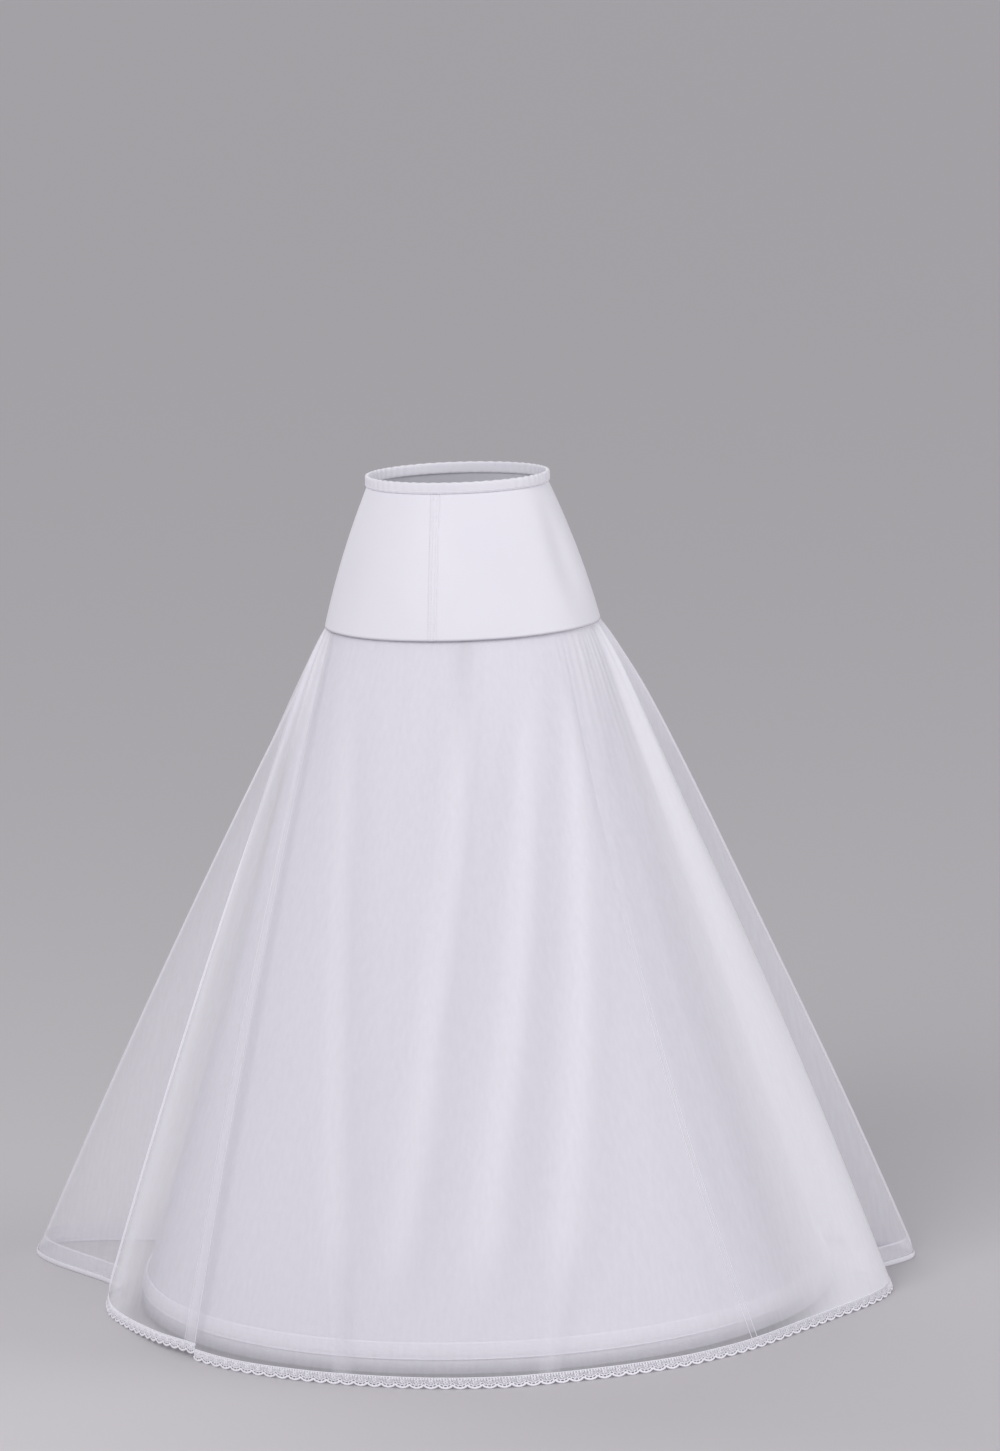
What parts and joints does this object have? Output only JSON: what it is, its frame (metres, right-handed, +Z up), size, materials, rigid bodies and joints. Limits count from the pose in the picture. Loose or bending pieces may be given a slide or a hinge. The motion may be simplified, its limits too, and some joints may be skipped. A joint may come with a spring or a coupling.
{
  "type": "hoop petticoat",
  "caption": "White floor-length A-line petticoat: elastic waist, smooth hip yoke, lining held out by a hoop near the hem, and a sheer net overlay with scalloped lace edging.",
  "frame": {"origin": "on the standing plane, under the middle of the outline", "axes": "+Z up along the wearer's body, -Y towards the front, +X to the right as seen from the front"},
  "size_m": [1.1274, 0.9156, 1.03],
  "materials": {
    "stretch_satin": "smooth, close knit, faint sheen",
    "woven_elastic": "ribbed, matte",
    "lining_taffeta": "plain weave, soft sheen",
    "channel_tape": "folded tape, matte",
    "coated_spring": "smooth white coating",
    "crimp_sleeve": "pressed sheet",
    "soft_net": "fine open mesh, sheer",
    "hem_lace": "openwork with scalloped edge",
    "hem_binding": "narrow rolled hem"
  },
  "bodies": {
    "root": {"waist_casing": "stretch_satin", "yoke_left_panel": "stretch_satin", "yoke_right_panel": "stretch_satin", "waist_elastic": "woven_elastic", "lining_front_gore": "lining_taffeta", "lining_left_gore": "lining_taffeta", "lining_right_gore": "lining_taffeta", "lining_back_gore": "lining_taffeta", "hoop_channel": "channel_tape", "hoop_bone": "coated_spring", "hoop_sleeve": "crimp_sleeve", "net_front_gore": "soft_net", "net_left_gore": "soft_net", "net_right_gore": "soft_net", "net_back_gore": "soft_net", "lace_front": "hem_lace", "lace_left": "hem_lace", "lace_right": "hem_lace", "back_hem_binding": "hem_binding"}
  },
  "joints": []
}
